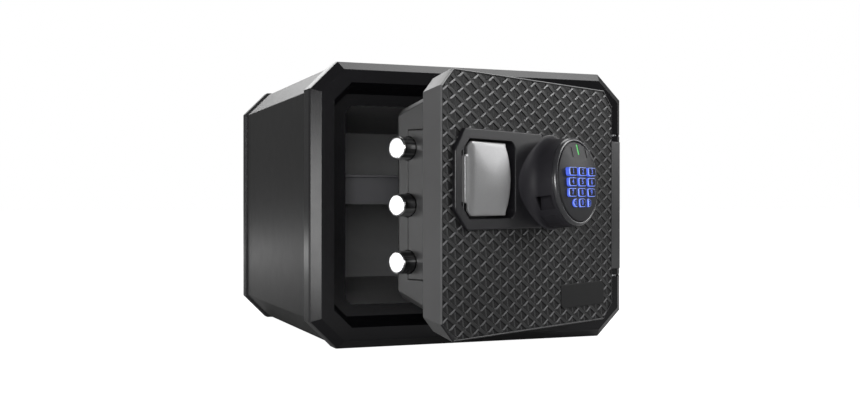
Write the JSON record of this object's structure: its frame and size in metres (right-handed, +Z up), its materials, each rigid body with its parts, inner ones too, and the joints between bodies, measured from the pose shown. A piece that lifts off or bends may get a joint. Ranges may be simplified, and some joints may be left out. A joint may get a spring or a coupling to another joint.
{
  "type": "fire resistant security safe",
  "caption": "Fire resistant box safe with an open hinged door, chrome locking bolts, pull handle, round electronic keypad and an inside tray.",
  "frame": {"origin": "sole of the front collar, in the middle of the width, 27 mm behind the front face of the frame", "axes": "+Z up, the door faces -Y at rest position closed, +X to the hinge side"},
  "size_m": [0.428, 0.6241, 0.35],
  "materials": {
    "case_dark": "satin near-black",
    "case_grey": "satin charcoal",
    "door_skin": "satin, raised diamond lattice",
    "door_grey": "matte dark grey",
    "console": "satin charcoal",
    "paddle": "fine grained silver",
    "chrome": "polished",
    "steel": "satin zinc plated",
    "liner": "matte dark grey",
    "tray": "matte dark grey",
    "seal": "matte",
    "insulation": "cast fire-resistant fill",
    "key": "blue lit translucent with black tops",
    "board": "circuit board",
    "led_green": "lit green lens",
    "lens": "dark gloss",
    "cell": "plain grey sleeve"
  },
  "bodies": {
    "case": {"front_frame": "case_dark", "case_shell": "case_grey", "rear_cover": "case_dark", "inner_liner": "liner", "case_insulation": "insulation", "hinge_pin_lower": "steel", "hinge_pin_upper": "steel"},
    "tray": {"tray": "tray"},
    "door": {"door_shell": "door_grey", "door_panel": "door_skin", "door_core": "insulation", "door_plug": "door_grey", "plug_core": "insulation", "bolt_cover": "door_grey", "door_gasket": "seal", "console": "console", "nameplate": "lens", "hinge_bar": "case_grey", "pry_bar": "steel", "plug_screw_1": "steel", "plug_screw_2": "steel", "plug_screw_3": "steel", "plug_screw_4": "steel", "solenoid_body": "steel", "paddle_pin": "steel", "pod_housing": "console", "bezel_ring": "case_grey", "keypad_fascia": "console", "led_lens_left": "lens", "led_lens_centre": "led_green", "led_lens_right": "lens", "circuit_board": "board"},
    "bolt_work": {"bolt_bar": "steel", "bolt_lower": "chrome", "bolt_middle": "chrome", "bolt_upper": "chrome"},
    "handle": {"handle_paddle": "paddle"},
    "plunger": {"solenoid_plunger": "steel"},
    "key_1": {"key_1": "key"},
    "key_2": {"key_2": "key"},
    "key_3": {"key_3": "key"},
    "key_4": {"key_4": "key"},
    "key_5": {"key_5": "key"},
    "key_6": {"key_6": "key"},
    "key_7": {"key_7": "key"},
    "key_8": {"key_8": "key"},
    "key_9": {"key_9": "key"},
    "key_left": {"key_left": "key"},
    "key_0": {"key_0": "key"},
    "key_right": {"key_right": "key"},
    "battery_drawer": {"battery_drawer": "console", "battery_cell_1": "cell", "battery_cell_2": "cell", "battery_cell_3": "cell", "battery_cell_4": "cell"}
  },
  "joints": [
    {"name": "door_hinge", "type": "hinge", "parent": "case", "child": "door", "pos_m": [0.203, -0.015, 0.175], "axis": [0, 0, 1], "range_deg": [-28, 82]},
    {"name": "tray_slide", "type": "slide", "parent": "case", "child": "tray", "axis": [0, -1, 0], "range_m": [0, 0.03]},
    {"name": "handle_pull", "type": "hinge", "parent": "door", "child": "handle", "pos_m": [-0.09524, -0.20812, 0.2036], "axis": [0, 0, -1], "range_deg": [0, 30], "stiffness_Nm_per_rad": 0.6},
    {"name": "bolt_slide", "type": "slide", "parent": "door", "child": "bolt_work", "axis": [0.8829, 0.4695, 0], "range_m": [0, 0.0153]},
    {"name": "solenoid_lift", "type": "slide", "parent": "door", "child": "plunger", "axis": [0, 0, 1], "range_m": [0, 0.004]},
    {"name": "press_1", "type": "slide", "parent": "door", "child": "key_1", "axis": [-0.468, 0.8802, -0.0785], "range_m": [0, 0.0012], "stiffness_N_per_m": 400},
    {"name": "press_2", "type": "slide", "parent": "door", "child": "key_2", "axis": [-0.468, 0.8802, -0.0785], "range_m": [0, 0.0012], "stiffness_N_per_m": 400},
    {"name": "press_3", "type": "slide", "parent": "door", "child": "key_3", "axis": [-0.468, 0.8802, -0.0785], "range_m": [0, 0.0012], "stiffness_N_per_m": 400},
    {"name": "press_4", "type": "slide", "parent": "door", "child": "key_4", "axis": [-0.468, 0.8802, -0.0785], "range_m": [0, 0.0012], "stiffness_N_per_m": 400},
    {"name": "press_5", "type": "slide", "parent": "door", "child": "key_5", "axis": [-0.468, 0.8802, -0.0785], "range_m": [0, 0.0012], "stiffness_N_per_m": 400},
    {"name": "press_6", "type": "slide", "parent": "door", "child": "key_6", "axis": [-0.468, 0.8802, -0.0785], "range_m": [0, 0.0012], "stiffness_N_per_m": 400},
    {"name": "press_7", "type": "slide", "parent": "door", "child": "key_7", "axis": [-0.468, 0.8802, -0.0785], "range_m": [0, 0.0012], "stiffness_N_per_m": 400},
    {"name": "press_8", "type": "slide", "parent": "door", "child": "key_8", "axis": [-0.468, 0.8802, -0.0785], "range_m": [0, 0.0012], "stiffness_N_per_m": 400},
    {"name": "press_9", "type": "slide", "parent": "door", "child": "key_9", "axis": [-0.468, 0.8802, -0.0785], "range_m": [0, 0.0012], "stiffness_N_per_m": 400},
    {"name": "press_left", "type": "slide", "parent": "door", "child": "key_left", "axis": [-0.468, 0.8802, -0.0785], "range_m": [0, 0.0012], "stiffness_N_per_m": 400},
    {"name": "press_0", "type": "slide", "parent": "door", "child": "key_0", "axis": [-0.468, 0.8802, -0.0785], "range_m": [0, 0.0012], "stiffness_N_per_m": 400},
    {"name": "press_right", "type": "slide", "parent": "door", "child": "key_right", "axis": [-0.468, 0.8802, -0.0785], "range_m": [0, 0.0012], "stiffness_N_per_m": 400},
    {"name": "battery_slide", "type": "slide", "parent": "door", "child": "battery_drawer", "axis": [0.0368, -0.0693, -0.9969], "range_m": [0, 0.03]}
  ],
  "couplings": [
    {"joint": "bolt_slide", "follows": "handle_pull", "m_per_rad": 0.029183}
  ]
}
